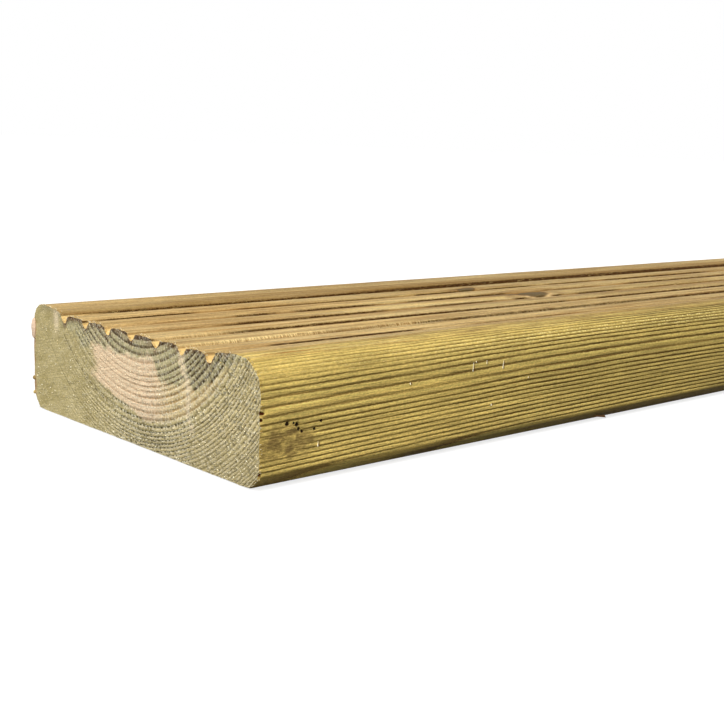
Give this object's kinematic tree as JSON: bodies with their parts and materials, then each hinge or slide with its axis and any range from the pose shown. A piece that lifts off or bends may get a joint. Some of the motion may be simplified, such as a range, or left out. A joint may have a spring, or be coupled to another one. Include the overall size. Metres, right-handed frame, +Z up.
{
  "type": "decking board",
  "caption": "Softwood decking board with a grooved, slip-resistant top face, rounded top edges and chamfered lower edges.",
  "frame": {"origin": "middle of the flat underside, half way along and half way across the board", "axes": "+X along the board, +Y across it towards the side with the narrower shoulder, +Z up, out of the grooved face"},
  "size_m": [2.4, 0.12, 0.034],
  "materials": {
    "treated_softwood": "planed, pressure-treated softwood with a yellow-green cast, dark grain lines and rough-sawn end grain"
  },
  "bodies": {
    "root": {"decking_board": "treated_softwood"}
  },
  "joints": []
}
